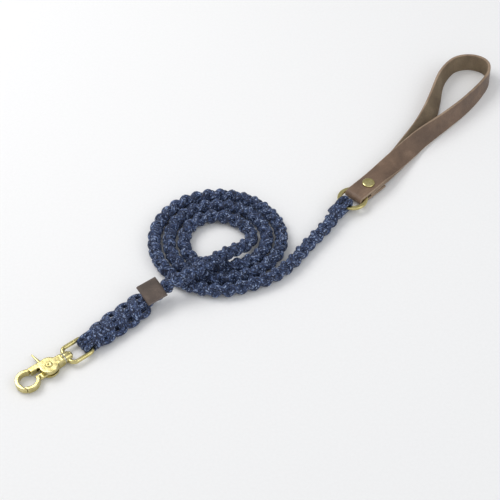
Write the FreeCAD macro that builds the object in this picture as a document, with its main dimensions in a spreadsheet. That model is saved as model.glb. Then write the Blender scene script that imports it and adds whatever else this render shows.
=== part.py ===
import FreeCAD, Part

import math
import os

import Sketcher

# Braided cord lead with a leather hand loop, an O-ring and a brass swivel trigger snap.
#
# The lead lies on a flat surface at Z = 0. Its origin is under the middle of the box round the
# hand loop, ring, snap, knotted grip and leather tab. +X runs across the coil towards the hand
# loop, +Z is up. Every length is in millimetres and every angle in degrees.

doc = FreeCAD.newDocument("lead")
Vec = FreeCAD.Vector
UP = Vec(0, 0, 1)

# ---------------------------------------------------------------------------------------------
# Driving dimensions
# ---------------------------------------------------------------------------------------------

SIZES = {
    # braided rope
    "rope_dia": 13.0,
    "coil_outer_radius": 64.0,
    "coil_hole_radius": 23.5,
    "coil_edge_round": 5.0,
    # leather strap
    "strap_width": 19.0,
    "strap_thick": 2.6,
    "ply_gap": 0.5,
    "ring_level": 6.9,
    # O-ring
    "ring_inner_radius": 10.2,
    "ring_outer_radius": 14.2,
    "ring_thick": 3.0,
    "ring_edge_round": 0.6,
    # strap rivet
    "rivet_reach": 21.9,
    "rivet_shank_radius": 2.0,
    "rivet_cap_radius": 5.8,
    "rivet_cap_height": 1.8,
    "rivet_plate_radius": 4.5,
    "rivet_plate_thick": 1.0,
    # rope hitch round the ring
    "hitch_radius": 6.9,
    "hitch_bore_radius": 3.25,
    "hitch_length": 9.0,
    # snap, measured from the gate pivot, with +X towards the rope
    "axis_level": 5.0,
    "eye_centre": 21.3,
    "eye_inner_radius": 7.2,
    "eye_outer_radius": 10.6,
    "jaw_low": 1.5,
    "jaw_high": 7.0,
    "tip_radius": 28.4,
    "tip_gap": 0.2,
    "body_radius": 8.2,
    "body_low": 1.2,
    "body_high": 8.8,
    "slot_low": 2.9,
    "slot_high": 5.1,
    "gate_play": 0.1,
    "slot_radius": 10.6,
    "pivot_radius": 1.5,
    "pivot_play": 0.08,
    "pivot_head_radius": 3.2,
    "pivot_head_height": 0.9,
    "neck_end": 12.3,
    "neck_width": 8.4,
    "flange_radius": 5.0,
    "flange_thick": 1.5,
    "lever_reach": 21.0,
    "lever_width": 4.4,
    "lever_tip_width": 1.0,
    "arm_reach": 14.0,
    "arm_width": 5.6,
    "gate_hub_radius": 5.2,
    "spring_wire": 0.8,
    "spring_play": 0.3,
    "spring_height": 0.9,
    # swivel
    "washer_start": 13.9,
    "washer_thick": 0.6,
    "hub_start": 14.6,
    "hub_length": 5.0,
    "hub_radius": 4.6,
    "stem_radius": 2.0,
    "stem_play": 0.08,
    "stem_start": 6.0,
    "button_start": 19.8,
    "button_length": 2.4,
    "button_radius": 3.4,
    "bow_wire_dia": 3.8,
    "bow_half_width": 9.3,
    "bow_start": 17.1,
    "bow_bar": 39.0,
    "bow_corner": 4.6,
    # knotted grip
    "bow_hitch_radius": 5.0,
    "bow_hitch_bore_radius": 2.2,
    "bow_hitch_length": 12.0,
    "core_width": 10.0,
    "core_height": 8.0,
    "core_level": 7.0,
    "knot_pitch": 14.6,
    "knot_length": 14.2,
    "knot_height": 13.4,
    # leather tab
    "tab_width": 19.4,
    "tab_length": 19.2,
    "tab_thick": 1.6,
}

sheet = doc.addObject("Spreadsheet::Sheet", "Sizes")
for row, (alias, value) in enumerate(SIZES.items(), start=1):
    sheet.set(f"A{row}", alias)
    sheet.set(f"B{row}", str(value))
    sheet.setAlias(f"B{row}", alias)
doc.recompute()


def size(alias):
    """A driving dimension, read from the sheet."""
    return float(sheet.get(alias))


# ---------------------------------------------------------------------------------------------
# Where the assemblies lie
# ---------------------------------------------------------------------------------------------

COIL_CENTRE = Vec(-53.4, -40.4, 0.0)

RING_CENTRE = Vec(70.2, 12.3, 0.0)
STRAP_TURN = 45.5
HITCH_TURN = 47.0
HITCH_REACH = 11.68

SNAP_PIVOT = Vec(-191.0, -181.0, 0.0)
SNAP_TURN = 39.5

KNOT_TURN = 43.4
KNOT_START = 5.5
KNOT_CORE_LENGTH = 58.0

TAB_CENTRE = Vec(-109.4, -107.8, 16.8)
TAB_TURN = 37.0
TAB_TILT = 20.0


def turned(place, turn):
    """A frame at `place`, turned about +Z."""
    return FreeCAD.Placement(place, FreeCAD.Rotation(UP, turn))


def ahead(turn, distance):
    """A level vector of that length, in the direction `turn` from +X."""
    return Vec(math.cos(math.radians(turn)), math.sin(math.radians(turn)), 0.0) * distance


SNAP_FRAME = turned(SNAP_PIVOT, SNAP_TURN)
BOW_BAR_CENTRE = SNAP_PIVOT + ahead(SNAP_TURN, size("bow_bar"))
KNOT_FRAME = turned(BOW_BAR_CENTRE, KNOT_TURN)
STRAP_FRAME = turned(RING_CENTRE, STRAP_TURN)
HITCH_CENTRE = RING_CENTRE - ahead(HITCH_TURN, HITCH_REACH)

# The rope's route, where it isn't coiled: from the ring to the coil, and from the coil's inner
# turn over the coil to the leather tab.
FREE_ROUTE = [
    (57.8, -1.0, 6.9),
    (49.6, -14.6, 6.6),
    (41.2, -27.1, 6.5),
    (31.2, -39.5, 6.5),
    (21.2, -53.8, 6.5),
    (11.2, -68.2, 6.5),
    (-0.2, -79.6, 6.5),
    (-12.2, -86.8, 6.5),
    (-24.4, -92.0, 6.5),
]
CROSSING_ROUTE = [
    (-31.0, -50.6, 10.6),
    (-38.5, -58.2, 14.2),
    (-47.8, -67.2, 18.4),
    (-57.5, -75.6, 20.0),
    (-67.5, -83.4, 20.0),
    (-77.5, -90.6, 19.8),
    (-86.4, -96.0, 19.0),
    (-94.6, -99.8, 15.8),
    (-102.4, -103.4, 11.0),
    (-110.5, -108.3, 7.6),
    (-117.5, -113.6, 6.6),
]

# ---------------------------------------------------------------------------------------------
# Helpers
# ---------------------------------------------------------------------------------------------

nodes = []


def node(item, label, frame=None):
    """Marks a finished object as one of the lead's pieces."""
    item.Label = label
    if frame is not None:
        item.Placement = frame.multiply(item.Placement)
    nodes.append(item)
    return item


def bind(item, **sizes):
    """Binds an object's sizes to the sheet, each by a formula in the sheet's aliases."""
    for name, formula in sizes.items():
        item.setExpression(name, formula)
    return item


def formula(text):
    """Puts the sheet's name before each alias in a formula."""
    words = text.replace("(", " ( ").replace(")", " ) ").split()
    return " ".join(f"Sizes.{word}" if word in SIZES else word for word in words)


def cylinder(name, radius, height, place=Vec(), rotation=None, angle=360.0):
    """A cylinder primitive with its radius and height bound to the sheet."""
    item = doc.addObject("Part::Cylinder", name)
    item.Angle = angle
    item.Placement = FreeCAD.Placement(place, rotation or FreeCAD.Rotation())
    return bind(item, Radius=formula(radius), Height=formula(height))


def box(name, length, width, height, place):
    """A box primitive with its sizes bound to the sheet."""
    item = doc.addObject("Part::Box", name)
    item.Placement = FreeCAD.Placement(place, FreeCAD.Rotation())
    return bind(item, Length=formula(length), Width=formula(width), Height=formula(height))


def fuse(name, *items):
    """One solid from several."""
    item = doc.addObject("Part::MultiFuse", name)
    item.Shapes = list(items)
    return item


def cut(name, base, *tools):
    """The base with each tool taken out of it in turn."""
    for index, tool in enumerate(tools):
        item = doc.addObject("Part::Cut", f"{name}_{index}")
        item.Base = base
        item.Tool = tool
        base = item
    return base


def common(name, *items):
    """What all the items share."""
    item = doc.addObject("Part::MultiCommon", name)
    item.Shapes = list(items)
    return item


ALONG_X = FreeCAD.Rotation(Vec(0, 1, 0), 90)
ALONG_Y = FreeCAD.Rotation(Vec(1, 0, 0), -90)


def origin_plane(body, role):
    """One of a body's own origin planes."""
    return next(item for item in body.Origin.OriginFeatures if item.Role == role)


def revolved(label, outline, frame):
    """A body revolved about its Z axis from an outline of (radius, height) formulas.

    Each corner of the sketch is bound to the sheet by its own distances from the axes.
    """
    body = doc.addObject("PartDesign::Body", label)
    sketch = body.newObject("Sketcher::SketchObject", f"{label}_outline")
    sketch.AttachmentSupport = (origin_plane(body, "XZ_Plane"), [""])
    sketch.MapMode = "FlatFace"
    corners = [(value_of(radius), value_of(height)) for radius, height in outline]
    for index, corner in enumerate(corners):
        following = corners[(index + 1) % len(corners)]
        start = Vec(corner[0], corner[1], 0)
        finish = Vec(following[0], following[1], 0)
        sketch.addGeometry(Part.LineSegment(start, finish), False)
    count = len(corners)
    for index in range(count):
        sketch.addConstraint(Sketcher.Constraint("Coincident", index, 2, (index + 1) % count, 1))
    for index, (radius, height) in enumerate(outline):
        for kind, text in (("DistanceX", radius), ("DistanceY", height)):
            constraint = Sketcher.Constraint(kind, -1, 1, index, 1, value_of(text))
            number = sketch.addConstraint(constraint)
            if text != "0":
                sketch.setExpression(f"Constraints[{number}]", formula(text))
    turn = body.newObject("PartDesign::Revolution", f"{label}_turn")
    turn.Profile = sketch
    turn.ReferenceAxis = (sketch, ["V_Axis"])
    turn.Angle = 360.0
    body.Tip = turn
    body.Placement = frame
    return node(body, label)


def value_of(text):
    """The number a formula gives with the sheet's present values."""
    total = 0.0
    sign = 1.0
    for word in text.split():
        if word in "+-":
            sign = 1.0 if word == "+" else -1.0
        else:
            number = SIZES[word] if word in SIZES else float(word)
            total += sign * number
    return total


def bent_path(points):
    """Straight runs joined by tangent arcs, each as large as its two runs allow."""
    corners = [Vec(*point) for point in points]
    edges = []
    radii = []
    start = corners[0]
    for before, corner, after in zip(corners, corners[1:], corners[2:]):
        inward = before - corner
        outward = after - corner
        turn = math.pi - inward.getAngle(outward)
        setback = 0.45 * min(inward.Length, outward.Length)
        radii.append(setback / math.tan(turn / 2))
        inward.normalize()
        outward.normalize()
        first = corner + inward * setback
        last = corner + outward * setback
        bisector = inward + outward
        bisector.normalize()
        to_centre = math.hypot(radii[-1], setback)
        middle = corner + bisector * (to_centre - radii[-1])
        edges.append(Part.LineSegment(start, first).toShape())
        edges.append(Part.Arc(first, middle, last).toShape())
        start = last
    edges.append(Part.LineSegment(start, corners[-1]).toShape())
    return Part.Wire(edges), radii


def rope_tube(label, points):
    """A plain tube of the rope's diameter along a bent path."""
    path, radii = bent_path(points)
    radius = size("rope_dia") / 2
    direction = Vec(*points[1]) - Vec(*points[0])
    profile = Part.Wire(Part.Circle(Vec(*points[0]), direction, radius).toShape())
    shape = path.makePipeShell([profile], True, False)
    expected = math.pi * radius**2 * path.Length
    print(f"{label}: length {path.Length:.1f}, volume ratio {shape.Volume / expected:.4f}")
    print(f"{label}: arc radii {[round(radius, 1) for radius in radii]}")
    item = doc.addObject("Part::Feature", label)
    item.Shape = shape
    return node(item, label)


# ---------------------------------------------------------------------------------------------
# Rope
# ---------------------------------------------------------------------------------------------

rope_tube("rope_free_run", FREE_ROUTE)
rope_tube("rope_crossing", CROSSING_ROUTE)


def rope_coil():
    """The flat coil's outer shape: a level ring one rope thick, with its edges rounded."""
    outer = cylinder("coil_disc", "coil_outer_radius", "rope_dia")
    hole = cylinder("coil_hole", "coil_hole_radius", "rope_dia")
    ring = cut("coil_ring", outer, hole)
    doc.recompute()
    rounded = doc.addObject("Part::Fillet", "coil_rounded")
    rounded.Base = ring
    radius = size("coil_edge_round")
    rims = [index + 1 for index, edge in enumerate(ring.Shape.Edges) if edge.isClosed()]
    rounded.Edges = [(rim, radius, radius) for rim in rims]
    node(rounded, "rope_coil", turned(COIL_CENTRE, 0))


rope_coil()


def ring_hitch():
    """The rope's turn round the ring: a sleeve that the ring can rock in."""
    half = size("hitch_length") / 2
    place = Vec(0, -half, size("ring_level"))
    sleeve = cylinder("hitch_sleeve", "hitch_radius", "hitch_length", place, ALONG_Y)
    bore = cylinder("hitch_bore", "hitch_bore_radius", "hitch_length", place, ALONG_Y)
    item = cut("ring_hitch", sleeve, bore)
    node(item, "ring_hitch", turned(HITCH_CENTRE, HITCH_TURN))


ring_hitch()


def bow_hitch():
    """The cords' turn round the snap's bow: a sleeve that the bow can swing in."""
    half = size("bow_hitch_length") / 2
    place = Vec(0, -half, size("axis_level"))
    sleeve = cylinder("bow_sleeve", "bow_hitch_radius", "bow_hitch_length", place, ALONG_Y)
    bore = cylinder("bow_sleeve_bore", "bow_hitch_bore_radius", "bow_hitch_length", place, ALONG_Y)
    item = cut("bow_hitch", sleeve, bore)
    node(item, "bow_hitch", turned(BOW_BAR_CENTRE, SNAP_TURN))


bow_hitch()


def core_box(name, start, length, play):
    """The core cords' box, with `play` added all round its section."""
    item = doc.addObject("Part::Box", name)
    item.Length = length
    bind(item, Width=f"Sizes.core_width + {2 * play}", Height=f"Sizes.core_height + {2 * play}")
    half_width = size("core_width") / 2 + play
    low = size("core_level") - size("core_height") / 2 - play
    item.Placement.Base = Vec(start, -half_width, low)
    return item


def knot_core():
    """The core cords that run down the middle of the knotted grip."""
    node(core_box("knot_core_box", KNOT_START, KNOT_CORE_LENGTH, 0.0), "knot_core", KNOT_FRAME)


knot_core()


# Half the width of each square knot, from the bow to the tab: the grip swells away from the bow.
KNOT_HALF_WIDTHS = [11.2, 12.8, 13.4, 13.8]
OVAL_SIDES = 24
KNOT_LIFT = 0.1


def knot_wraps():
    """Four square knots tied round the core, each an oval block with the core's hole."""
    height = size("knot_height")
    width = size("core_width")
    low = size("core_level") - size("core_height") / 2
    solids = []
    for index, half_width in enumerate(KNOT_HALF_WIDTHS):
        start = KNOT_START + index * size("knot_pitch")
        outline = []
        for step in range(OVAL_SIDES):
            angle = 2 * math.pi * step / OVAL_SIDES
            upward = height / 2 * (1 + math.sin(angle)) + KNOT_LIFT
            outline.append(Vec(start, half_width * math.cos(angle), upward))
        face = Part.Face(Part.makePolygon(outline + outline[:1]))
        solid = face.extrude(Vec(size("knot_length"), 0, 0))
        corner = Vec(start - 1, -width / 2, low)
        core = Part.makeBox(size("knot_pitch") + 1, width, size("core_height"), corner)
        solids.append(solid.cut(core))
    item = doc.addObject("Part::Feature", "knot_wraps")
    item.Shape = Part.makeCompound(solids)
    node(item, "knot_wraps", KNOT_FRAME)


knot_wraps()


def leather_tab():
    """A strip of leather folded in half over a cord, both halves flat on the rope."""
    thick = size("tab_thick")
    slit = 0.2
    top = thick + slit / 2
    half_length = size("tab_length") / 2
    half_width = size("tab_width") / 2
    low = -top
    middle = 0.0
    fold = half_length - (top - low) / 2
    outer = [
        Part.LineSegment(Vec(half_length, 0, top), Vec(-fold, 0, top)),
        Part.Arc(Vec(-fold, 0, top), Vec(-half_length, 0, middle), Vec(-fold, 0, low)),
        Part.LineSegment(Vec(-fold, 0, low), Vec(half_length, 0, low)),
        Part.LineSegment(Vec(half_length, 0, low), Vec(half_length, 0, low + thick)),
        Part.LineSegment(Vec(half_length, 0, low + thick), Vec(-fold, 0, low + thick)),
        Part.Arc(
            Vec(-fold, 0, low + thick), Vec(-fold - slit / 2, 0, middle), Vec(-fold, 0, top - thick)
        ),
        Part.LineSegment(Vec(-fold, 0, top - thick), Vec(half_length, 0, top - thick)),
        Part.LineSegment(Vec(half_length, 0, top - thick), Vec(half_length, 0, top)),
    ]
    face = Part.Face(Part.Wire([curve.toShape() for curve in outer]))
    face.translate(Vec(0, -half_width, 0))
    item = doc.addObject("Part::Feature", "leather_tab")
    item.Shape = face.extrude(Vec(0, 2 * half_width, 0))
    tilt = FreeCAD.Placement(Vec(), FreeCAD.Rotation(Vec(1, 0, 0), TAB_TILT))
    node(item, "leather_tab", turned(TAB_CENTRE, TAB_TURN).multiply(tilt))


leather_tab()

# ---------------------------------------------------------------------------------------------
# Leather hand loop, ring and rivet
# ---------------------------------------------------------------------------------------------

# The strap's course past the rivet, in the strap's frame: distance from the ring's centre,
# sideways place, height of the strap's middle, and how far the strap has turned from flat. It
# goes out as the upper ply, round the hand loop on its edge, and back as the ply beneath.
STRAP_COURSE = [
    (4.4, 0.0, 10.00, 0.0),
    (20.0, 0.2, 10.00, 0.0),
    (35.0, 0.8, 10.00, 0.0),
    (50.0, 1.9, 9.20, 10.0),
    (70.0, 3.2, 9.05, 27.0),
    (90.0, 4.6, 9.05, 42.0),
    (108.0, 5.2, 9.45, 54.0),
    (132.0, 4.2, 9.85, 68.0),
    (163.0, 4.0, 9.75, 74.0),
    (188.0, 5.9, 9.85, 79.0),
    (206.0, 8.9, 9.75, 84.0),
    (220.0, 13.2, 9.65, 87.0),
    (229.3, 20.6, 9.65, 89.0),
    (232.0, 30.0, 9.65, 90.0),
    (228.0, 40.6, 9.65, 91.0),
    (218.6, 48.4, 9.65, 93.0),
    (206.0, 50.6, 9.75, 97.0),
    (185.5, 45.8, 9.85, 105.0),
    (162.0, 33.6, 9.35, 119.0),
    (144.0, 24.6, 8.55, 131.0),
    (125.0, 17.4, 7.75, 139.0),
    (108.0, 12.8, 7.15, 143.0),
    (90.0, 9.0, 6.55, 148.0),
    (70.0, 5.0, 5.75, 156.0),
    (50.0, 2.5, 5.90, 171.0),
    (35.0, 0.8, 6.90, 180.0),
    (24.0, 0.3, 6.90, 180.0),
    (15.6, 0.0, 6.90, 180.0),
]
TAIL_END = 36.0
COURSE_STEPS = 3
FOLD_STEPS = 8


def between(before, start, finish, after, part):
    """A Catmull-Rom curve's value at `part` of the way from start to finish."""
    square = part * part
    cube = square * part
    return 0.5 * (
        2 * start
        + (finish - before) * part
        + (2 * before - 5 * start + 4 * finish - after) * square
        + (3 * start - before - 3 * finish + after) * cube
    )


def smooth_course(course, steps):
    """The course with more stations between those given, on a smooth curve."""
    stations = []
    padded = [course[0]] + course + [course[-1]]
    for index in range(1, len(padded) - 2):
        for step in range(steps):
            groups = zip(*padded[index - 1 : index + 3])
            stations.append(tuple(between(*group, step / steps) for group in groups))
    stations.append(course[-1])
    return stations


def strap_section(centre, width_way, thick_way):
    """The strap's section: a rectangle across its middle line."""
    half_width = width_way * (size("strap_width") / 2)
    half_thick = thick_way * (size("strap_thick") / 2)
    corners = [
        centre - half_width - half_thick,
        centre + half_width - half_thick,
        centre + half_width + half_thick,
        centre - half_width + half_thick,
    ]
    return Part.makePolygon(corners + corners[:1])


def handle_strap():
    """One strap: a tail under the ring, a fold through it, and the hand loop."""
    across = Vec(0, 1, 0)
    level = size("ring_level")
    bend = size("strap_thick") + size("ply_gap")
    fold_reach = bend + size("strap_thick") / 2
    sections = [strap_section(Vec(TAIL_END, 0, level - bend), across, Vec(0, 0, -1))]
    for step in range(FOLD_STEPS + 1):
        angle = math.pi * step / FOLD_STEPS
        outward = Vec(-math.sin(angle), 0, -math.cos(angle))
        centre = Vec(fold_reach, 0, level) + outward * bend
        sections.append(strap_section(centre, across, outward))
    stations = smooth_course(STRAP_COURSE, COURSE_STEPS)
    for index in range(1, len(stations)):
        place = Vec(*stations[index][:3])
        behind = Vec(*stations[index - 1][:3])
        front = Vec(*stations[min(index + 1, len(stations) - 1)][:3])
        heading = front - behind
        heading.normalize()
        left = UP.cross(heading)
        left.normalize()
        turn = math.radians(stations[index][3])
        width_way = left * math.cos(turn) + UP * math.sin(turn)
        thick_way = heading.cross(width_way)
        thick_way.normalize()
        sections.append(strap_section(place, width_way, thick_way))
    strap = Part.makeLoft(sections, True, True)
    hole_radius = size("rivet_shank_radius")
    hole = Part.makeCylinder(hole_radius, 4 * level, Vec(size("rivet_reach"), 0, -level))
    item = doc.addObject("Part::Feature", "handle_strap")
    item.Shape = strap.cut(hole)
    node(item, "handle_strap", STRAP_FRAME)


handle_strap()

# The three plies' outer faces, and the rivet's axis.
strap_half_stack = size("ply_gap") + 1.5 * size("strap_thick")
stack_low = size("ring_level") - strap_half_stack
stack_high = size("ring_level") + strap_half_stack
rivet_place = RING_CENTRE + ahead(STRAP_TURN, size("rivet_reach"))


def strap_rivet_post():
    """The rivet's plate under the strap and its shank through the three plies."""
    shank_length = stack_high - stack_low
    outline = [
        ("0", "0"),
        ("rivet_plate_radius", "0"),
        ("rivet_plate_radius", "rivet_plate_thick"),
        ("rivet_shank_radius", "rivet_plate_thick"),
        ("rivet_shank_radius", f"rivet_plate_thick + {shank_length}"),
        ("0", f"rivet_plate_thick + {shank_length}"),
    ]
    level = stack_low - size("rivet_plate_thick")
    revolved("strap_rivet_post", outline, turned(rivet_place + UP * level, 0))


def strap_rivet_cap():
    """The rivet's cap on the strap: a low dome with a bevelled rim."""
    bevel = 0.7
    outline = [
        ("0", "0"),
        ("rivet_cap_radius", "0"),
        ("rivet_cap_radius", f"rivet_cap_height - {bevel}"),
        (f"rivet_cap_radius - {bevel}", f"rivet_cap_height - {bevel / 3}"),
        (f"rivet_cap_radius - {4 * bevel}", "rivet_cap_height"),
        ("0", "rivet_cap_height"),
    ]
    revolved("strap_rivet_cap", outline, turned(rivet_place + UP * stack_high, 0))


def ring():
    """The O-ring: a squared band with its edges taken off."""
    outline = [
        ("ring_inner_radius + ring_edge_round", "0"),
        ("ring_outer_radius - ring_edge_round", "0"),
        ("ring_outer_radius", "ring_edge_round"),
        ("ring_outer_radius", "ring_thick - ring_edge_round"),
        ("ring_outer_radius - ring_edge_round", "ring_thick"),
        ("ring_inner_radius + ring_edge_round", "ring_thick"),
        ("ring_inner_radius", "ring_thick - ring_edge_round"),
        ("ring_inner_radius", "ring_edge_round"),
    ]
    level = size("ring_level") - size("ring_thick") / 2
    revolved("ring", outline, turned(RING_CENTRE + UP * level, 0))


strap_rivet_post()
strap_rivet_cap()
ring()

# ---------------------------------------------------------------------------------------------
# Snap, in its own frame: the gate's pivot at the origin and the rope towards +X
# ---------------------------------------------------------------------------------------------

EYE_CENTRE = Vec(-size("eye_centre"), 0, 0)


def band_sector(name, start, sweep):
    """A stretch of the eye's band, from one angle round to another."""
    rotation = FreeCAD.Rotation(UP, start)
    place = EYE_CENTRE + UP * size("jaw_low")
    height = "jaw_high - jaw_low"
    outer = cylinder(f"{name}_outer", "eye_outer_radius", height, place, rotation, sweep)
    inner = cylinder(f"{name}_inner", "eye_inner_radius", height, place)
    return cut(name, outer, inner)


def snap_body():
    """The cast body: neck and flange, two cheeks with the gate's slot, and the fixed jaw.

    The fixed jaw's tip is relieved by a disc about the pivot, so that the gate's tip passes it.
    """
    cheeks = cylinder("cheeks", "body_radius", "body_high - body_low", UP * size("body_low"))
    neck_corner = Vec(0, -size("neck_width") / 2, size("body_low"))
    neck = box("neck_block", "neck_end", "neck_width", "body_high - body_low", neck_corner)
    axis = Vec(0, 0, size("axis_level"))
    flange_place = axis + Vec(size("neck_end"), 0, 0)
    flange = cylinder("neck_flange", "flange_radius", "flange_thick", flange_place, ALONG_X)
    root_corner = Vec(-15.2, 4.0, size("jaw_low"))
    root = box("jaw_root", "14.0", "5.4", "jaw_high - jaw_low", root_corner)
    near_jaw = band_sector("near_jaw", 50.0, 146.0)
    relief = cylinder("tip_relief", "tip_radius", "body_high")
    far_jaw = cut("far_jaw_tip", band_sector("far_jaw", 196.0, 44.0), relief)
    slot = cylinder("gate_slot", "slot_radius", "slot_high - slot_low", UP * size("slot_low"))
    solid_back = box("slot_back", "neck_end", "20", "body_high", Vec(5.6, -10, 0))
    slot = cut("gate_slot_shape", slot, solid_back)
    pocket_radius = "pivot_radius + 2 * spring_play + spring_wire"
    pocket_height = "spring_height + spring_play"
    pocket = cylinder("spring_pocket", pocket_radius, pocket_height, UP * size("slot_high"))
    pin_hole = cylinder("pivot_hole", "pivot_radius", "2 * body_high")
    stem_place = axis + Vec(size("stem_start"), 0, 0)
    stem_hole = cylinder("stem_hole", "stem_radius", "neck_end", stem_place, ALONG_X)
    whole = fuse("snap_body_whole", cheeks, neck, flange, root, near_jaw, far_jaw)
    node(cut("snap_body", whole, slot, pocket, pin_hole, stem_hole), "snap_body", SNAP_FRAME)


def snap_gate():
    """The moving jaw, its plate on the pivot and the thumb lever on the other side."""
    play = size("gate_play")
    jaw = band_sector("gate_jaw", 222.0, 123.0)
    disc = cylinder("gate_tip_disc", "tip_radius - tip_gap", "body_high")
    jaw = common("gate_jaw_tip", jaw, disc)
    level = UP * (size("slot_low") + play)
    height = f"slot_high - slot_low - {2 * play}"
    plate = cylinder("gate_plate", "gate_hub_radius", height, level)
    arm_corner = Vec(-size("arm_reach"), -size("arm_width"), 0) + level
    arm = box("gate_arm", "arm_reach", "arm_width", height, arm_corner)
    lever_place = Vec(-4.6, 0, 0) + level
    lever = doc.addObject("Part::Wedge", "gate_lever")
    bind(lever, Xmax=formula("lever_width"), Ymax=formula("lever_reach"), Zmax=formula(height))
    bind(lever, X2max=formula("lever_tip_width"), Z2max=formula(height))
    lever.X2min = 0
    lever.Z2min = 0
    lever.Placement.Base = lever_place
    whole = fuse("snap_gate_whole", jaw, plate, arm, lever)
    hole = cylinder("gate_hole", "pivot_radius + pivot_play", "2 * body_high")
    node(cut("snap_gate", whole, hole), "snap_gate", SNAP_FRAME)


def gate_pivot():
    """The rivet the gate turns on, with a dimpled head."""
    outline = [
        ("0", "body_low"),
        ("pivot_radius", "body_low"),
        ("pivot_radius", "body_high"),
        ("pivot_head_radius", "body_high"),
        ("pivot_head_radius - 0.8", "body_high + pivot_head_height"),
        ("0.9", "body_high + pivot_head_height"),
        ("0", "body_high + 0.3"),
    ]
    revolved("gate_pivot", outline, SNAP_FRAME)


def gate_spring():
    """The small torsion spring that shuts the gate, wound round the pivot over the plate."""
    outline = [
        ("pivot_radius + spring_play", "slot_high"),
        ("pivot_radius + spring_play + spring_wire", "slot_high"),
        ("pivot_radius + spring_play + spring_wire", "slot_high + spring_height"),
        ("pivot_radius + spring_play", "slot_high + spring_height"),
    ]
    revolved("gate_spring", outline, SNAP_FRAME)


def swivel_frame():
    """The snap's frame with Z along the swivel's axis."""
    place = SNAP_FRAME.multVec(UP * size("axis_level"))
    return FreeCAD.Placement(place, SNAP_FRAME.Rotation.multiply(ALONG_X))


def swivel_stem():
    """The headed stem through the bow's hub, fixed in the snap's neck."""
    outline = [
        ("0", "stem_start"),
        ("stem_radius", "stem_start"),
        ("stem_radius", "button_start"),
        ("button_radius", "button_start"),
        ("button_radius", "button_start + 1.2"),
        ("button_radius - 1.2", "button_start + button_length"),
        ("0", "button_start + button_length"),
    ]
    revolved("swivel_stem", outline, swivel_frame())


def swivel_washer():
    """The thrust washer between the snap's neck and the bow's hub."""
    outline = [
        ("stem_radius + stem_play", "washer_start"),
        ("flange_radius - 0.6", "washer_start"),
        ("flange_radius - 0.6", "washer_start + washer_thick"),
        ("stem_radius + stem_play", "washer_start + washer_thick"),
    ]
    revolved("swivel_washer", outline, swivel_frame())


def swivel_bow():
    """The bow: a wire loop through a hub that turns on the stem."""
    near = size("bow_start")
    far = size("bow_bar")
    side = size("bow_half_width")
    corner = size("bow_corner")
    slant = corner * (1 - math.sqrt(0.5))
    level = size("axis_level")

    def at(along, across):
        return Vec(along, across, level)

    curves = [
        Part.LineSegment(at(near, 0), at(near, side - corner)),
        Part.Arc(at(near, side - corner), at(near + slant, side - slant), at(near + corner, side)),
        Part.LineSegment(at(near + corner, side), at(far - corner, side)),
        Part.Arc(at(far - corner, side), at(far - slant, side - slant), at(far, side - corner)),
        Part.LineSegment(at(far, side - corner), at(far, corner - side)),
        Part.Arc(at(far, corner - side), at(far - slant, slant - side), at(far - corner, -side)),
        Part.LineSegment(at(far - corner, -side), at(near + corner, -side)),
        Part.Arc(at(near + corner, -side), at(near + slant, slant - side), at(near, corner - side)),
        Part.LineSegment(at(near, corner - side), at(near, 0)),
    ]
    path = Part.Wire([curve.toShape() for curve in curves])
    wire_radius = size("bow_wire_dia") / 2
    profile = Part.Wire(Part.Circle(at(near, 0), Vec(0, 1, 0), wire_radius).toShape())
    loop = doc.addObject("Part::Feature", "bow_loop")
    loop.Shape = path.makePipeShell([profile], True, False)
    print(f"bow: volume ratio {loop.Shape.Volume / (math.pi * wire_radius**2 * path.Length):.4f}")
    place = Vec(size("hub_start"), 0, level)
    hub = cylinder("bow_hub", "hub_radius", "hub_length", place, ALONG_X)
    bore = cylinder("bow_bore", "stem_radius + stem_play", "hub_length", place, ALONG_X)
    node(cut("swivel_bow", fuse("bow_whole", loop, hub), bore), "swivel_bow", SNAP_FRAME)


snap_body()
snap_gate()
gate_pivot()
gate_spring()
swivel_stem()
swivel_washer()
swivel_bow()

# ---------------------------------------------------------------------------------------------
# Check and write
# ---------------------------------------------------------------------------------------------

doc.recompute()
for item in doc.Objects:
    if "Invalid" in item.State or "Error" in item.State:
        raise RuntimeError(f"{item.Name} failed to recompute: {item.State}")

os.makedirs("parts", exist_ok=True)
for item in nodes:
    shape = item.Shape
    if shape.isNull() or not shape.isValid() or not shape.Solids:
        raise RuntimeError(f"{item.Label} has no valid solid")
    bounds = shape.BoundBox
    span = (bounds.XMin, bounds.YMin, bounds.ZMin, bounds.XMax, bounds.YMax, bounds.ZMax)
    print(item.Label, len(shape.Solids), round(shape.Volume, 1), [round(edge, 1) for edge in span])
    shape.exportStep(f"parts/{item.Label}.step")
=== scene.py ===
import math
import random

import bpy
import numpy as np
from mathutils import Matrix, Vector


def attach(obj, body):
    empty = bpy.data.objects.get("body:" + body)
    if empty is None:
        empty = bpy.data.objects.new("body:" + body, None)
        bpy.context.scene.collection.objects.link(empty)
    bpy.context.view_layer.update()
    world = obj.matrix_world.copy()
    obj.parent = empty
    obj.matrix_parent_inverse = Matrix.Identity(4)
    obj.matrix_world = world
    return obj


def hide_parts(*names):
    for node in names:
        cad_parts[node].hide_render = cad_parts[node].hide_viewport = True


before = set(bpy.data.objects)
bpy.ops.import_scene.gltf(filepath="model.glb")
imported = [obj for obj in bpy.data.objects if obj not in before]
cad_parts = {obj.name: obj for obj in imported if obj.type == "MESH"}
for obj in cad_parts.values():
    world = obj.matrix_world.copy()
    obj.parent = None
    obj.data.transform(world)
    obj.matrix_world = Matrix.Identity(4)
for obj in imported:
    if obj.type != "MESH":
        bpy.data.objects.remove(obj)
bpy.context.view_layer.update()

MM = 0.001
UP = np.array([0.0, 0.0, 1.0])
FLOOR_LIFT = 0.2 * MM
TUBE_SIDES = 12
random.seed(11)

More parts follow.
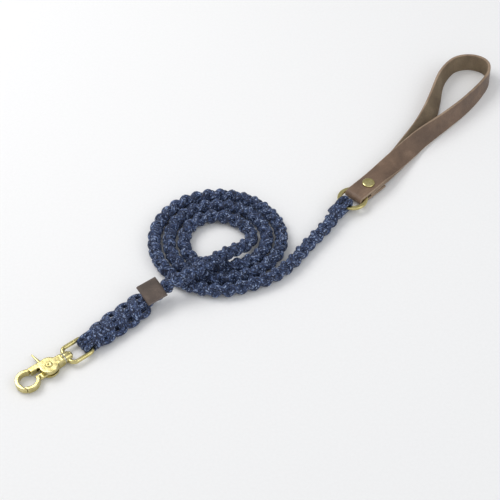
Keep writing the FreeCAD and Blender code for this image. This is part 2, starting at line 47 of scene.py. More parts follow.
# ---------------------------------------------------------------------------------------------
# Where things lie, in millimetres, as in the CAD source
# ---------------------------------------------------------------------------------------------

COIL_CENTRE = (-53.4, -40.4)
RING_CENTRE = (70.2, 12.3)
RING_LEVEL = 6.9
STRAP_TURN = 45.5
HITCH_TURN = 47.0
HITCH_REACH = 11.68
SNAP_PIVOT = (-191.0, -181.0)
SNAP_TURN = 39.5
BOW_BAR = 39.0
KNOT_TURN = 43.4
TAB_CENTRE = (-109.4, -107.8, 16.8)
TAB_TURN = 37.0
TAB_TILT = 20.0

FREE_ROUTE = [
    (57.8, -1.0, 6.9),
    (49.6, -14.6, 6.6),
    (41.2, -27.1, 6.5),
    (31.2, -39.5, 6.5),
    (21.2, -53.8, 6.5),
    (11.2, -68.2, 6.5),
    (-0.2, -79.6, 6.5),
    (-12.2, -86.8, 6.5),
    (-24.4, -92.0, 6.5),
]
TURN_ROUTE = [
    (-25.0, -25.4, 6.8),
    (-22.6, -36.8, 7.4),
    (-25.4, -45.0, 8.8),
]
CROSSING_ROUTE = [
    (-31.0, -50.6, 10.6),
    (-38.5, -58.2, 14.2),
    (-47.8, -67.2, 18.4),
    (-57.5, -75.6, 20.0),
    (-67.5, -83.4, 20.0),
    (-77.5, -90.6, 19.8),
    (-86.4, -96.0, 19.0),
    (-94.6, -99.8, 15.8),
    (-102.4, -103.4, 11.0),
    (-110.5, -108.3, 7.6),
    (-117.5, -113.6, 6.6),
]


def heading(turn):
    return np.array([math.cos(math.radians(turn)), math.sin(math.radians(turn)), 0.0])


def place(origin, turn, along, across, level):
    """A point given in a frame turned about +Z at `origin`, in the row frame, in mm."""
    ahead = heading(turn)
    left = heading(turn + 90)
    base = np.array([origin[0], origin[1], 0.0])
    return base + ahead * along + left * across + UP * level


HITCH_CENTRE = np.array([*RING_CENTRE, 0.0]) - heading(HITCH_TURN) * HITCH_REACH
BAR_CENTRE = np.array([*SNAP_PIVOT, 0.0]) + heading(SNAP_TURN) * BOW_BAR


def smoothstep(part):
    part = min(1.0, max(0.0, part))
    return part * part * (3 - 2 * part)


# The coil is wound clockwise from outside in. Each turn is a circle until it nears the place
# where the rope comes in, and there it steps inwards by one rope.
COIL_START = 18.0
COIL_END = 962.0
POINTS_PER_TURN = 20
OUTER_TURN = 57.5
TURN_STEP = 13.3
DROP_START = -70.0
DROP_SWEEP = 100.0


def coil_radius(wound):
    drops = 0.0
    for turn in range(4):
        drops += smoothstep((wound - DROP_START - 360.0 * turn) / DROP_SWEEP)
    return OUTER_TURN + TURN_STEP * (1 - drops)


def coil_points():
    points = []
    wound = COIL_START
    spread = 1.0 / (0.75 + 0.25 * math.cos(2 * math.pi / POINTS_PER_TURN))
    while wound <= COIL_END:
        radius = (coil_radius(wound) + 0.5 * math.sin(wound * 0.051)) * spread
        angle = math.radians(-60.0 - wound)
        level = 6.5 + 0.15 * math.sin(wound * 0.037)
        x = COIL_CENTRE[0] + radius * math.cos(angle)
        y = COIL_CENTRE[1] + radius * math.sin(angle)
        points.append((x, y, level))
        wound += 360.0 / POINTS_PER_TURN
    return points


def nurbs_line(points, resolution=12):
    """Points down the NURBS spline through the route's control points, in metres."""
    curve = bpy.data.curves.new("route", "CURVE")
    curve.dimensions = "3D"
    curve.resolution_u = resolution
    spline = curve.splines.new("NURBS")
    spline.points.add(len(points) - 1)
    for index, point in enumerate(points):
        spline.points[index].co = (point[0] * MM, point[1] * MM, point[2] * MM, 1.0)
    spline.order_u = 3
    spline.use_endpoint_u = True
    holder = bpy.data.objects.new("route", curve)
    mesh = bpy.data.meshes.new_from_object(holder)
    line = np.array([vertex.co for vertex in mesh.vertices], float)
    bpy.data.objects.remove(holder)
    bpy.data.meshes.remove(mesh)
    return line


def even(line, step):
    """The line again, with points a step apart."""
    lengths = np.linalg.norm(np.diff(line, axis=0), axis=1)
    along = np.concatenate([[0.0], np.cumsum(lengths)])
    count = max(2, int(round(along[-1] / step)) + 1)
    marks = np.linspace(0, along[-1], count)
    return np.stack([np.interp(marks, along, line[:, axis]) for axis in range(3)], axis=1)


def unit(vectors):
    return vectors / np.maximum(np.linalg.norm(vectors, axis=-1, keepdims=True), 1e-12)


# ---------------------------------------------------------------------------------------------
# Mesh building
# ---------------------------------------------------------------------------------------------


class Builder:
    """Collects swept tubes and strips, and makes one mesh of them."""

    def __init__(self):
        self.points = []
        self.faces = []
        self.maps = []
        self.slots = []

    def grid(self, rings, lengths, arounds, slots=None, floor=FLOOR_LIFT):
        """Closed rings joined one to the next, with both ends capped. All in metres."""
        base = len(self.points)
        count, sides = rings.shape[:2]
        flat = rings.reshape(-1, 3).copy()
        flat[:, 2] = np.maximum(flat[:, 2], floor)
        self.points.extend(map(tuple, flat))
        for ring in range(count - 1):
            for side in range(sides):
                near = base + ring * sides
                far = near + sides
                other = (side + 1) % sides
                self.faces.append((near + side, near + other, far + other, far + side))
                left, right = arounds[side], arounds[side + 1]
                start, finish = lengths[ring], lengths[ring + 1]
                self.maps.extend([(start, left), (start, right), (finish, right), (finish, left)])
                self.slots.append(slots[side] if slots else 0)
        for ring, flip in ((0, True), (count - 1, False)):
            corners = [base + ring * sides + side for side in range(sides)]
            texture = [(lengths[ring] + 0.3 * math.sin(side), arounds[side]) for side in range(sides)]
            if flip:
                corners.reverse()
                texture.reverse()
            self.faces.append(tuple(corners))
            self.maps.extend(texture)
            self.slots.append(max(slots) if slots else 0)

    def tube(self, line, radius, sides=TUBE_SIDES, floor=FLOOR_LIFT):
        """A tube along a line, in metres, with its section kept from twisting."""
        line = np.asarray(line, float)
        tangents = unit(np.gradient(line, axis=0))
        side = np.cross(tangents[0], UP)
        if np.linalg.norm(side) < 0.1:
            side = np.cross(tangents[0], np.array([1.0, 0.0, 0.0]))
        side = unit(side)
        radii = np.broadcast_to(np.asarray(radius, float), (len(line),))
        angles = np.linspace(0, 2 * math.pi, sides, endpoint=False)
        rings = np.zeros((len(line), sides, 3))
        for index, tangent in enumerate(tangents):
            side = unit(side - tangent * side.dot(tangent))
            top = np.cross(tangent, side)
            around = np.outer(np.cos(angles), side) + np.outer(np.sin(angles), top)
            rings[index] = line[index] + around * radii[index]
        steps = np.linalg.norm(np.diff(line, axis=0), axis=1)
        lengths = np.concatenate([[0.0], np.cumsum(steps)]) / MM + random.uniform(0, 40)
        reach = 2 * math.pi * float(radii.mean()) / MM
        self.grid(rings, lengths, np.linspace(0, reach, sides + 1), floor=floor)

    def make(self, name, materials, layer="cord"):
        mesh = bpy.data.meshes.new(name)
        mesh.from_pydata(self.points, [], self.faces)
        uv = mesh.uv_layers.new(name=layer)
        uv.data.foreach_set("uv", np.array(self.maps, np.float32).ravel())
        mesh.polygons.foreach_set("material_index", self.slots)
        mesh.polygons.foreach_set("use_smooth", [True] * len(self.faces))
        for item in materials:
            mesh.materials.append(item)
        mesh.update()
        piece = bpy.data.objects.new(name, mesh)
        bpy.context.scene.collection.objects.link(piece)
        return piece


def bent(points, step=0.0008):
    """A smooth line through listed points in mm, given in metres."""
    return even(nurbs_line(points), step)


# ---------------------------------------------------------------------------------------------
# Materials
# ---------------------------------------------------------------------------------------------


class Shader:
    """A node material with short ways to add and join nodes."""

    def __init__(self, name):
        self.material = bpy.data.materials.new(name)
        self.material.use_nodes = True
        self.nodes = self.material.node_tree.nodes
        self.links = self.material.node_tree.links
        self.surface = self.nodes["Principled BSDF"]

    def add(self, kind, **values):
        item = self.nodes.new(kind)
        for name, value in values.items():
            if name in item.inputs:
                item.inputs[name].default_value = value
            else:
                setattr(item, name, value)
        return item

    def join(self, source, output, target, entry):
        self.links.new(source.outputs[output], target.inputs[entry])

    def ramp(self, source, output, stops, blend="LINEAR"):
        item = self.nodes.new("ShaderNodeValToRGB")
        item.color_ramp.interpolation = blend
        while len(item.color_ramp.elements) < len(stops):
            item.color_ramp.elements.new(0.5)
        for element, (position, colour) in zip(item.color_ramp.elements, stops):
            element.position = position
            element.color = (*colour, 1.0)
        self.links.new(source.outputs[output], item.inputs["Fac"])
        return item

    def mix(self, first, second, factor, blend="MIX"):
        """Mixes two colour sockets. The factor is a number or a socket."""
        item = self.nodes.new("ShaderNodeMix")
        item.data_type = "RGBA"
        item.blend_type = blend
        if isinstance(factor, (int, float)):
            item.inputs[0].default_value = factor
        else:
            self.links.new(factor, item.inputs[0])
        for socket, value in ((item.inputs[6], first), (item.inputs[7], second)):
            if isinstance(value, tuple):
                socket.default_value = (*value, 1.0)
            else:
                self.links.new(value, socket)
        return item.outputs[2]

    def bump(self, height, strength, distance, before=None):
        item = self.nodes.new("ShaderNodeBump")
        item.inputs["Strength"].default_value = strength
        item.inputs["Distance"].default_value = distance
        self.links.new(height, item.inputs["Height"])
        if before is not None:
            self.links.new(before, item.inputs["Normal"])
        return item.outputs["Normal"]

    def finish(self, colour=None, normal=None, roughness=None, **constants):
        for name, value in constants.items():
            self.surface.inputs[name.replace("_", " ")].default_value = value
        if colour is not None:
            self.links.new(colour, self.surface.inputs["Base Color"])
        if normal is not None:
            self.links.new(normal, self.surface.inputs["Normal"])
        if roughness is not None:
            self.links.new(roughness, self.surface.inputs["Roughness"])
        return self.material


def braid_material():
    """Speckled navy cord: a fine diagonal sheath of dark, mid and pale yarns, with painted shade in
    the gaps between them.
    """
    shader = Shader("speckled_navy_cord")
    place_on = shader.add("ShaderNodeUVMap", uv_map="cord")
    turn = shader.add("ShaderNodeMapping")
    turn.inputs["Rotation"].default_value = (0.0, 0.0, math.radians(38))
    turn.inputs["Scale"].default_value = (0.95, 1.25, 1.0)
    shader.join(place_on, "UV", turn, "Vector")
    yarn = shader.add("ShaderNodeTexVoronoi", voronoi_dimensions="2D", Scale=1.0, Randomness=0.55)
    shader.join(turn, "Vector", yarn, "Vector")
    split = shader.add("ShaderNodeSeparateColor")
    shader.join(yarn, "Color", split, "Color")
    yarns = shader.ramp(
        split,
        "Red",
        [
            (0.0, (0.010, 0.017, 0.045)),
            (0.34, (0.025, 0.042, 0.105)),
            (0.60, (0.052, 0.086, 0.195)),
            (0.80, (0.110, 0.165, 0.320)),
            (0.90, (0.300, 0.385, 0.580)),
        ],
        "CONSTANT",
    )
    where = shader.add("ShaderNodeTexCoord")
    cloud = shader.add("ShaderNodeTexNoise", Scale=160.0, Detail=3.0, Roughness=0.6)
    shader.join(where, "Object", cloud, "Vector")
    shade = shader.ramp(cloud, "Fac", [(0.3, (0.62, 0.62, 0.66)), (0.7, (1.15, 1.15, 1.12))])
    tinted = shader.mix(yarns.outputs["Color"], shade.outputs["Color"], 1.0, "MULTIPLY")
    # Painted shade: each yarn darkens towards the edge of its cell, standing in for the shade in the
    # gaps between raised yarns.
    painted_gap_shade = shader.ramp(yarn, "Distance", [(0.30, (1.0, 1.0, 1.0)), (0.75, (0.35, 0.36, 0.42))])
    colour = shader.mix(tinted, painted_gap_shade.outputs["Color"], 0.85, "MULTIPLY")
    raised = shader.add("ShaderNodeMath", operation="SUBTRACT")
    raised.inputs[0].default_value = 1.0
    shader.links.new(yarn.outputs["Distance"], raised.inputs[1])
    normal = shader.bump(raised.outputs[0], 0.75, 0.0005)
    return shader.finish(
        colour,
        normal,
        Roughness=0.62,
        Sheen_Weight=0.18,
        Sheen_Roughness=0.45,
        Sheen_Tint=(0.62, 0.72, 1.0, 1.0),
        Specular_IOR_Level=0.35,
    )


def leather_material(name, dark, mid, light, grain=1.0, gloss=0.5):
    """Leather: pores and fine creases, with broad changes of tone, lighter in random patches."""
    shader = Shader(name)
    where = shader.add("ShaderNodeTexCoord")
    broad = shader.add("ShaderNodeTexNoise", Scale=38.0, Detail=5.0, Roughness=0.62)
    broad.inputs["Distortion"].default_value = 0.6
    fine = shader.add("ShaderNodeTexNoise", Scale=900.0, Detail=6.0, Roughness=0.72)
    pores = shader.add("ShaderNodeTexVoronoi", Scale=1150.0, Randomness=1.0)
    pores.feature = "DISTANCE_TO_EDGE"
    for item in (broad, fine, pores):
        shader.join(where, "Object", item, "Vector")
    tone = shader.ramp(broad, "Fac", [(0.28, dark), (0.52, mid), (0.74, light)])
    speck = shader.ramp(fine, "Fac", [(0.32, (0.70, 0.70, 0.70)), (0.68, (1.14, 1.12, 1.08))])
    colour = shader.mix(tone.outputs["Color"], speck.outputs["Color"], 0.75, "MULTIPLY")
    pore = shader.ramp(pores, "Distance", [(0.0, (0.0, 0.0, 0.0)), (0.12, (1.0, 1.0, 1.0))])
    relief = shader.bump(pore.outputs["Color"], 0.22 * grain, 0.0003)
    normal = shader.bump(fine.outputs["Fac"], 0.35 * grain, 0.0006, relief)
    rough = shader.ramp(
        fine, "Fac", [(0.3, (gloss - 0.08,) * 3), (0.7, (gloss + 0.14,) * 3)]
    )
    return shader.finish(colour, normal, rough.outputs["Color"], Specular_IOR_Level=0.45)


def metal_material(name, dark, light, roughness, wear=0.06):
    """Polished metal with a faint cast ripple and hairline wear."""
    shader = Shader(name)
    where = shader.add("ShaderNodeTexCoord")
    ripple = shader.add("ShaderNodeTexNoise", Scale=210.0, Detail=2.0, Roughness=0.5)
    hair = shader.add("ShaderNodeTexNoise", Scale=1400.0, Detail=4.0, Roughness=0.7)
    for item in (ripple, hair):
        shader.join(where, "Object", item, "Vector")
    tone = shader.ramp(ripple, "Fac", [(0.3, dark), (0.7, light)])
    rough = shader.ramp(
        hair, "Fac", [(0.35, (roughness,) * 3), (0.75, (roughness + wear,) * 3)]
    )
    normal = shader.bump(ripple.outputs["Fac"], 0.12, 0.0008)
    return shader.finish(tone.outputs["Color"], normal, rough.outputs["Color"], Metallic=1.0)


BRAID = braid_material()
STRAP_GRAIN = leather_material(
    "strap_grain", (0.105, 0.066, 0.045), (0.170, 0.108, 0.072), (0.250, 0.165, 0.112), 1.0, 0.44
)
STRAP_EDGE = leather_material(
    "strap_edge", (0.20, 0.135, 0.09), (0.32, 0.23, 0.16), (0.43, 0.33, 0.245), 1.4, 0.6
)
STRAP_FLESH = leather_material(
    "strap_flesh", (0.15, 0.108, 0.068), (0.225, 0.168, 0.108), (0.30, 0.235, 0.16), 1.8, 0.72
)
TAB_GRAIN = leather_material(
    "tab_grain", (0.050, 0.038, 0.033), (0.110, 0.083, 0.070), (0.215, 0.160, 0.125), 1.4, 0.58
)
TAB_EDGE = leather_material(
    "tab_edge", (0.11, 0.085, 0.075), (0.17, 0.135, 0.12), (0.25, 0.2, 0.175), 1.5, 0.68
)
BRASS = metal_material("brass", (0.50, 0.43, 0.17), (0.68, 0.60, 0.30), 0.17)
STEEL = metal_material("steel", (0.55, 0.54, 0.50), (0.70, 0.69, 0.65), 0.25)

# ---------------------------------------------------------------------------------------------
# Rope: four strands plaited round the route's spline
# ---------------------------------------------------------------------------------------------

STRAND_RADIUS = 2.72
STRAND_OUT = 3.0
STRAND_WAVE = 1.0
LAY_LENGTH = 22.4
RING_STEP = 1.1
FACE_TURN = math.radians(45)


def plait(builder, line):
    """Two strands go round one way and two the other, each over one and under the next."""
    axis = even(line, RING_STEP * MM)
    tangents = unit(np.gradient(axis, axis=0))
    side = unit(np.cross(UP, tangents))
    top = np.cross(tangents, side)
    steps = np.linalg.norm(np.diff(axis, axis=0), axis=1)
    along = np.concatenate([[0.0], np.cumsum(steps)]) / MM
    lay = LAY_LENGTH * (1 + 0.05 * np.sin(along / 61.0) + 0.03 * np.sin(along / 23.0))
    wound = np.concatenate([[0.0], np.cumsum(2 * math.pi * np.diff(along) / lay[1:])])
    roll = 0.22 * np.sin(along / 47.0) + 0.12 * np.sin(along / 17.0)
    for way, phase in ((1, 0.0), (1, math.pi), (-1, 0.0), (-1, math.pi)):
        angle = phase + way * wound
        wave = way * STRAND_WAVE * np.cos(2 * angle)
        uneven = 1 + 0.03 * np.sin(along / 9.0 + phase + way)
        out = (STRAND_OUT * uneven + wave) * MM
        turned = angle + FACE_TURN + roll
        offset = np.cos(turned)[:, None] * side + np.sin(turned)[:, None] * top
        builder.tube(axis + offset * out[:, None], STRAND_RADIUS * MM)
    return axis


route = FREE_ROUTE + coil_points() + TURN_ROUTE + CROSSING_ROUTE
rope_line = nurbs_line(route)
rope_builder = Builder()
rope_axis = plait(rope_builder, rope_line)
rope = rope_builder.make("rope_braid", [BRAID])
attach(rope, "rope")
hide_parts("rope_free_run", "rope_coil", "rope_crossing")


# Radii of the single cords at the ring, at the bow, and down the middle of the grip.
RING_CORD = 2.6
BOW_CORD = 2.45
CORE_CORD = 2.4


def ring_turn():
    """The rope's two doubled cords where they go round the O-ring."""
    builder = Builder()
    for across, lean in ((-2.75, -0.5), (2.75, 0.7)):
        course = [
            (-17.0, across * 0.55, 8.6),
            (-10.5, across * 0.8, 9.9),
            (-4.2, across + lean, 11.9),
            (1.8, across + lean, 12.5),
            (5.6, across * 0.95, 9.9),
            (5.6, across * 0.9, 6.6),
            (4.4, across * 0.9, 3.7),
            (0.4, across - lean, 2.5),
            (-5.5, across - lean, 2.7),
            (-11.0, across * 0.8, 4.0),
            (-17.0, across * 0.55, 4.6),
        ]
        points = [place(HITCH_CENTRE[:2], HITCH_TURN, *point) for point in course]
        builder.tube(bent(points), RING_CORD * MM)
    for across in (-5.4, 5.4):
        course = [
            (-15.0, across * 0.9, 6.6),
            (-9.0, across * 1.0, 7.2),
            (-5.4, across * 0.93, 6.7),
            (-4.4, across * 0.5, 6.9),
        ]
        points = [place(HITCH_CENTRE[:2], HITCH_TURN, *point) for point in course]
        builder.tube(bent(points), CORE_CORD * MM)
    piece = builder.make("rope_ring_turn", [BRAID])
    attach(piece, "rope")
    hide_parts("ring_hitch")
    return piece


def bow_turn():
    """The grip's cords where they go round the snap's bow."""
    builder = Builder()
    for index, across in enumerate((-4.9, 0.0, 4.9)):
        high = 9.4 + 0.3 * (index % 2)
        course = [
            (15.0, across * 0.9, 9.6),
            (9.0, across, 10.4),
            (3.2, across, high + 0.7),
            (-1.6, across * 1.02, high + 0.4),
            (-4.8, across * 1.04, 7.4),
            (-5.2, across * 1.04, 4.6),
            (-3.6, across * 1.02, 2.0),
            (0.4, across, 1.7),
            (7.0, across, 2.6),
            (15.0, across * 0.9, 4.0),
        ]
        points = [place(BAR_CENTRE[:2], SNAP_TURN + 2, *point) for point in course]
        builder.tube(bent(points), BOW_CORD * MM)
    piece = builder.make("grip_bow_turn", [BRAID])
    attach(piece, "rope")
    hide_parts("bow_hitch")


# The square knots down the grip, from the bow to the tab: where each wrap lies and its
# half-width, then the cords that bulge out between the wraps on the far and near sides.
KNOT_MIDDLES = [9.8, 22.0, 36.0, 50.6]
KNOT_HALF_WIDTHS = [10.4, 11.0, 11.0, 11.0]
KNOT_LEAN = 3.5
FAR_ARCS = [(17.2, 12.9), (31.0, 14.4), (45.2, 14.2), (59.6, 14.6)]
NEAR_ARCS = [(15.6, 12.0), (28.0, 12.6), (42.0, 12.8), (55.0, 11.8)]
KNOT_CORD = 2.5
KNOT_MIDDLE = 6.75


def knot_wrap(builder, middle, half_width, lean, index):
    """Two cords side by side, once round the core, leaning towards the bow on the near side."""
    for cord, shift in enumerate((-2.55, 2.55)):
        points = []
        count = 16
        for step in range(count + 1):
            angle = math.radians(250) + 2 * math.pi * step / count
            cos, sin = math.cos(angle), math.sin(angle)
            across = (half_width - KNOT_CORD) * math.copysign(abs(cos) ** 0.86, cos)
            level = KNOT_MIDDLE + 4.25 * math.copysign(abs(sin) ** 0.86, sin)
            pinch = 1.0 - 0.22 * max(0.0, -cos) + 0.05 * max(0.0, cos)
            ripple = 0.35 * math.sin(3 * angle + 1.7 * index + cord)
            along = middle + shift * pinch + lean * cos + ripple
            points.append(place(BAR_CENTRE[:2], KNOT_TURN, along, across, level + 0.15 * ripple))
        builder.tube(bent(points), KNOT_CORD * MM)


def knot_arc(builder, middle, half_width, way, index):
    """A cord that comes out between two wraps, bulges past the grip's side and goes in again."""
    edge = half_width - KNOT_CORD
    sway = 0.4 * math.sin(2.3 * index + way)
    course = [
        (middle - 6.4, way * (edge - 7.0), 7.4),
        (middle - 6.6, way * (edge - 3.4), 6.4),
        (middle - 4.2, way * (edge - 0.4), 5.6 + sway),
        (middle, way * (edge + 0.5), 5.2),
        (middle + 4.2, way * (edge - 0.4), 5.0 - sway),
        (middle + 6.6, way * (edge - 3.4), 5.4),
        (middle + 6.4, way * (edge - 7.0), 5.6),
    ]
    points = [place(BAR_CENTRE[:2], KNOT_TURN, *point) for point in course]
    builder.tube(bent(points), KNOT_CORD * MM)


def knotted_grip():
    core = Builder()
    for across in (-2.5, 2.5):
        for level in (4.5, 9.2):
            course = [(5.0, across, level), (35.0, across * 1.1, level), (66.0, across, level)]
            points = [place(BAR_CENTRE[:2], KNOT_TURN, *point) for point in course]
            core.tube(bent(points, 0.002), CORE_CORD * MM)
    piece = core.make("grip_core", [BRAID])
    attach(piece, "rope")
    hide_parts("knot_core")
    wraps = Builder()
    for index, (middle, half_width) in enumerate(zip(KNOT_MIDDLES, KNOT_HALF_WIDTHS)):
        knot_wrap(wraps, middle, half_width, KNOT_LEAN, index)
    for way, arcs in ((1, FAR_ARCS), (-1, NEAR_ARCS)):
        for index, (middle, half_width) in enumerate(arcs):
            knot_arc(wraps, middle, half_width, way, index)
    piece = wraps.make("grip_wraps", [BRAID])
    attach(piece, "rope")
    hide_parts("knot_wraps")


ring_piece = ring_turn()
bow_turn()
knotted_grip()

# ---------------------------------------------------------------------------------------------
# Leather
# ---------------------------------------------------------------------------------------------


STRIP_STEPS = 8


def strip_section(width, thick, corner):
    """A strip's section as (across, out) pairs with round corners, and each side's slot.

    Slot 0 is the grain side, 1 the flesh side and 2 the cut edges.
    """
    half_width, half_thick = width / 2, thick / 2
    points = []
    slots = []

    def flat(way, slot):
        for step in range(STRIP_STEPS + 1):
            if way > 0 or step:
                across = corner - half_width + (width - 2 * corner) * step / STRIP_STEPS
                if way > 0:
                    across = half_width - corner - (width - 2 * corner) * step / STRIP_STEPS
                points.append((across, way * half_thick))
                slots.append(slot if step < STRIP_STEPS else 2)

    def corners(pair):
        for across, out, start in pair:
            centre = (across * (half_width - corner), out * (half_thick - corner))
            for step in range(1, 4):
                angle = math.radians(start + 30 * step)
                aside = centre[0] + corner * math.cos(angle)
                points.append((aside, centre[1] + corner * math.sin(angle)))
                slots.append(2)

    flat(1, 0)
    corners(((-1, 1, 90), (-1, -1, 180)))
    slots[-1] = 1
    flat(-1, 1)
    corners(((1, -1, 270), (1, 1, 0)))
    points.pop()
    slots.pop()
    return points, slots


def strip(builder, stations, width, thick, corner, sag=0.0):
    """A strip through stations of (middle, across, out) vectors, in mm."""
    section, slots = strip_section(width, thick, corner)
    rings = np.zeros((len(stations), len(section), 3))
    for index, (middle, across, out) in enumerate(stations):
        for side, (aside, outward) in enumerate(section):
            drop = UP * sag * (2 * aside / width) ** 2
            rings[index, side] = (middle + across * aside + out * outward - drop) * MM
    middles = np.array([station[0] for station in stations])
    steps = np.linalg.norm(np.diff(middles, axis=0), axis=1)
    lengths = np.concatenate([[0.0], np.cumsum(steps)])
    sides = np.array(section + section[:1])
    arounds = np.concatenate([[0.0], np.cumsum(np.linalg.norm(np.diff(sides, axis=0), axis=1))])
    builder.grid(rings, lengths, arounds, slots)


def between(before, start, finish, after, part):
    """A Catmull-Rom curve's value at `part` of the way from start to finish."""
    square = part * part
    cube = square * part
    return 0.5 * (
        2 * start
        + (finish - before) * part
        + (2 * before - 5 * start + 4 * finish - after) * square
        + (3 * start - before - 3 * finish + after) * cube
    )


def smooth_course(course, steps):
    stations = []
    padded = [course[0]] + course + [course[-1]]
    for index in range(1, len(padded) - 2):
        for step in range(steps):
            groups = zip(*padded[index - 1 : index + 3])
            stations.append(tuple(between(*group, step / steps) for group in groups))
    stations.append(course[-1])
    return stations


# The strap's course in its own frame, as in the CAD source: distance from the ring's centre,
# sideways place, height of its middle, and how far it has turned from flat.
STRAP_COURSE = [
    (4.4, 0.0, 10.00, 0.0),
    (20.0, 0.2, 10.00, 0.0),
    (35.0, 0.8, 10.00, 0.0),
    (50.0, 1.9, 9.20, 10.0),
    (70.0, 3.2, 9.05, 27.0),
    (90.0, 4.6, 9.05, 42.0),
    (108.0, 5.2, 9.45, 54.0),
    (132.0, 4.2, 9.85, 68.0),
    (163.0, 4.0, 9.75, 74.0),
    (188.0, 5.9, 9.85, 79.0),
    (206.0, 8.9, 9.75, 84.0),
    (220.0, 13.2, 9.65, 87.0),
    (229.3, 20.6, 9.65, 89.0),
    (232.0, 30.0, 9.65, 90.0),
    (228.0, 40.6, 9.65, 91.0),
    (218.6, 48.4, 9.65, 93.0),
    (206.0, 50.6, 9.75, 97.0),
    (185.5, 45.8, 9.85, 105.0),
    (162.0, 33.6, 9.35, 119.0),
    (144.0, 24.6, 8.55, 131.0),
    (125.0, 17.4, 7.75, 139.0),
    (108.0, 12.8, 7.15, 143.0),
    (90.0, 9.0, 6.55, 148.0),
    (70.0, 5.0, 5.75, 156.0),
    (50.0, 2.5, 5.90, 171.0),
    (35.0, 0.8, 6.90, 180.0),
    (24.0, 0.3, 6.90, 180.0),
    (15.6, 0.0, 6.90, 180.0),
]
STRAP_WIDTH = 19.0
STRAP_THICK = 2.6
STRAP_CORNER = 0.55
STRAP_LAP = 3.1
TAIL_END = 36.0


def hand_loop():
    stations = []
    ahead = heading(STRAP_TURN)
    left = heading(STRAP_TURN + 90)

    def into_row(vector):
        return ahead * vector[0] + left * vector[1] + UP * vector[2]

    origin = np.array([*RING_CENTRE, 0.0])
    fold_reach = STRAP_LAP + STRAP_THICK / 2
    tail_level = RING_LEVEL - STRAP_LAP
    for along in np.linspace(TAIL_END, fold_reach + 1.0, 12):
        middle = origin + into_row((along, 0, tail_level))
        stations.append((middle, into_row((0, 1, 0)), into_row((0, 0, -1))))
    for step in range(13):
        angle = math.pi * step / 12
        out = (-math.sin(angle), 0, -math.cos(angle))
        middle = (fold_reach + out[0] * STRAP_LAP, 0, RING_LEVEL + out[2] * STRAP_LAP)
        stations.append((origin + into_row(middle), into_row((0, 1, 0)), into_row(out)))
    course = smooth_course(STRAP_COURSE, 4)
    for index in range(1, len(course)):
        before = np.array(course[index - 1][:3])
        after = np.array(course[min(index + 1, len(course) - 1)][:3])
        ahead_here = unit(after - before)
        left_here = unit(np.cross(UP, ahead_here))
        turn = math.radians(course[index][3])
        across = left_here * math.cos(turn) + UP * math.sin(turn)
        out = unit(np.cross(ahead_here, across))
        middle = origin + into_row(course[index][:3])
        stations.append((middle, into_row(across), into_row(out)))
    builder = Builder()
    strip(builder, stations, STRAP_WIDTH, STRAP_THICK, STRAP_CORNER)
    piece = builder.make("handle_leather", [STRAP_GRAIN, STRAP_FLESH, STRAP_EDGE])
    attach(piece, "handle")
    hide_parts("handle_strap")


TAB_LENGTH = 19.2
TAB_WIDTH = 19.4
TAB_THICK = 1.6
TAB_SLIT = 0.2
TAB_SAG = 1.0
TAB_CORNER = 0.4


def leather_tab():
    """A strip folded over on itself, tilted down towards the near side."""
    ahead = heading(TAB_TURN)
    left = heading(TAB_TURN + 90)
    tilt = math.radians(TAB_TILT)
    across = left * math.cos(tilt) + UP * math.sin(tilt)
    above = UP * math.cos(tilt) - left * math.sin(tilt)
    origin = np.array(TAB_CENTRE)
    half_gap = (TAB_THICK + TAB_SLIT) / 2
    fold = TAB_LENGTH / 2 - half_gap - TAB_THICK / 2
    stations = []
    for along in np.linspace(TAB_LENGTH / 2, -fold, 10):
        lift = 0.35 * (along / TAB_LENGTH + 0.5) ** 2
        stations.append((origin + ahead * along + above * (half_gap + lift), across, above))
    for step in range(1, 8):
        angle = math.pi * step / 8
        out = above * math.cos(angle) - ahead * math.sin(angle)
        stations.append((origin - ahead * fold + out * half_gap, across, out))
    for along in np.linspace(-fold, TAB_LENGTH / 2 + 0.8, 10):
        stations.append((origin + ahead * along - above * half_gap, across, -above))
    builder = Builder()
    strip(builder, stations, TAB_WIDTH, TAB_THICK, TAB_CORNER, sag=TAB_SAG)
    piece = builder.make("tab_leather", [TAB_GRAIN, TAB_EDGE, TAB_EDGE])
    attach(piece, "rope")
    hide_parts("leather_tab")
    return piece


hand_loop()
tab_piece = leather_tab()

# ---------------------------------------------------------------------------------------------
# Metal
# ---------------------------------------------------------------------------------------------


def cast(node, body, material, voxel=0.32, rounds=6):
    """A cast or pressed copy of a CAD node: its edges are worn round as in the real piece."""
    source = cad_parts[node]
    piece = bpy.data.objects.new(f"{node}_cast", source.data.copy())
    bpy.context.scene.collection.objects.link(piece)
    remesh = piece.modifiers.new("even", "REMESH")
    remesh.mode = "VOXEL"
    remesh.voxel_size = voxel * MM
    soften = piece.modifiers.new("soften", "SMOOTH")
    soften.factor = 0.5
    soften.iterations = rounds
    view = bpy.context.evaluated_depsgraph_get()
    made = bpy.data.meshes.new_from_object(piece.evaluated_get(view))
    piece.modifiers.clear()
    piece.data = made
    made.polygons.foreach_set("use_smooth", [True] * len(made.polygons))
    made.materials.clear()
    made.materials.append(material)
    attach(piece, body)
    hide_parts(node)


cast("snap_body", "hook", BRASS)
cast("snap_gate", "gate", BRASS)
cast("swivel_bow", "bow", BRASS)
cast("ring", "ring", BRASS)
cast("strap_rivet_cap", "handle", BRASS, 0.2, 5)
cast("gate_pivot", "hook", BRASS, 0.15, 3)

METAL_NODES = {
    "strap_rivet_post": BRASS,
    "swivel_stem": BRASS,
    "swivel_washer": STEEL,
    "gate_spring": STEEL,
}
for name, material in METAL_NODES.items():
    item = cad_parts[name]
    item.data.materials.clear()
    item.data.materials.append(material)
    edges = item.modifiers.new("worn_edges", "BEVEL")
    edges.width = 0.12 * MM
    edges.segments = 2
    edges.limit_method = "ANGLE"

# ---------------------------------------------------------------------------------------------
# Floor, light and camera
# ---------------------------------------------------------------------------------------------

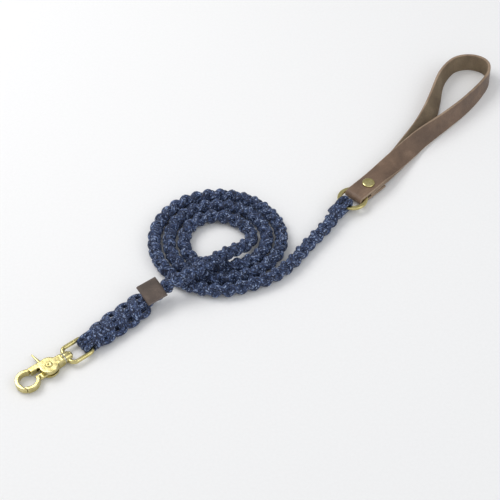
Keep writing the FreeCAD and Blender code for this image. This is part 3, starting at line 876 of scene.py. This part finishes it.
FLOOR_REACH = 6.0
SKY_STRENGTH = 0.84
KEY_WATTS = 13.0
FILL_WATTS = 3.0
CAMERA_LENS = 96.0
CAMERA_ELEVATION = 48.0
CAMERA_DISTANCE = 1.2
CAMERA_TARGET = (-24.65, -45.5)


def studio():
    shader = Shader("paper_floor")
    where = shader.add("ShaderNodeTexCoord")
    grain = shader.add("ShaderNodeTexNoise", Scale=420.0, Detail=3.0)
    shader.join(where, "Object", grain, "Vector")
    tone = shader.ramp(
        grain, "Fac", [(0.3, (0.845, 0.846, 0.850)), (0.7, (0.865, 0.866, 0.870))]
    )
    paper = shader.finish(tone.outputs["Color"], Roughness=0.85, Specular_IOR_Level=0.2)
    mesh = bpy.data.meshes.new("floor")
    reach = FLOOR_REACH
    corners = [(-reach, -reach, 0), (reach, -reach, 0), (reach, reach, 0), (-reach, reach, 0)]
    mesh.from_pydata(corners, [], [(0, 1, 2, 3)])
    mesh.materials.append(paper)
    floor = bpy.data.objects.new("floor", mesh)
    bpy.context.scene.collection.objects.link(floor)

    world = bpy.data.worlds.new("studio")
    world.use_nodes = True
    nodes, links = world.node_tree.nodes, world.node_tree.links
    look = nodes.new("ShaderNodeTexCoord")
    parts = nodes.new("ShaderNodeSeparateXYZ")
    links.new(look.outputs["Generated"], parts.inputs["Vector"])
    span = nodes.new("ShaderNodeMapRange")
    span.inputs["From Min"].default_value = -1.0
    links.new(parts.outputs["Y"], span.inputs["Value"])
    sky = nodes.new("ShaderNodeValToRGB")
    sky.color_ramp.elements[0].color = (1.0, 1.0, 1.0, 1.0)
    sky.color_ramp.elements[1].color = (0.50, 0.51, 0.53, 1.0)
    links.new(span.outputs["Result"], sky.inputs["Fac"])
    links.new(sky.outputs["Color"], nodes["Background"].inputs["Color"])
    nodes["Background"].inputs["Strength"].default_value = SKY_STRENGTH
    bpy.context.scene.world = world

    def softbox(name, spot, aim, size, power, colour):
        light = bpy.data.lights.new(name, "AREA")
        light.shape = "RECTANGLE"
        light.size, light.size_y = size
        light.energy = power
        light.color = colour
        lamp = bpy.data.objects.new(name, light)
        lamp.location = spot
        lamp.rotation_euler = (Vector(aim) - Vector(spot)).to_track_quat("-Z", "Y").to_euler()
        bpy.context.scene.collection.objects.link(lamp)

    softbox("key", (-0.9, 0.45, 1.25), (0, 0, 0), (1.1, 0.9), KEY_WATTS, (1.0, 0.99, 0.975))
    softbox("fill", (0.9, -0.5, 1.0), (0, 0, 0), (0.8, 0.8), FILL_WATTS, (0.95, 0.98, 1.0))


def camera():
    lens = bpy.data.cameras.new("photo_view")
    lens.lens = CAMERA_LENS
    lens.sensor_width = 36.0
    lens.clip_start = 0.05
    lens.clip_end = 20.0
    viewer = bpy.data.objects.new("photo_view", lens)
    elevation = math.radians(CAMERA_ELEVATION)
    target = Vector((CAMERA_TARGET[0] * MM, CAMERA_TARGET[1] * MM, 0.0))
    back = Vector((0.0, -math.cos(elevation), math.sin(elevation)))
    viewer.location = target + back * CAMERA_DISTANCE
    viewer.rotation_euler = (math.pi / 2 - elevation, 0.0, 0.0)
    bpy.context.scene.collection.objects.link(viewer)
    bpy.context.scene.camera = viewer
    bpy.context.scene.view_settings.view_transform = "Standard"


studio()
camera()
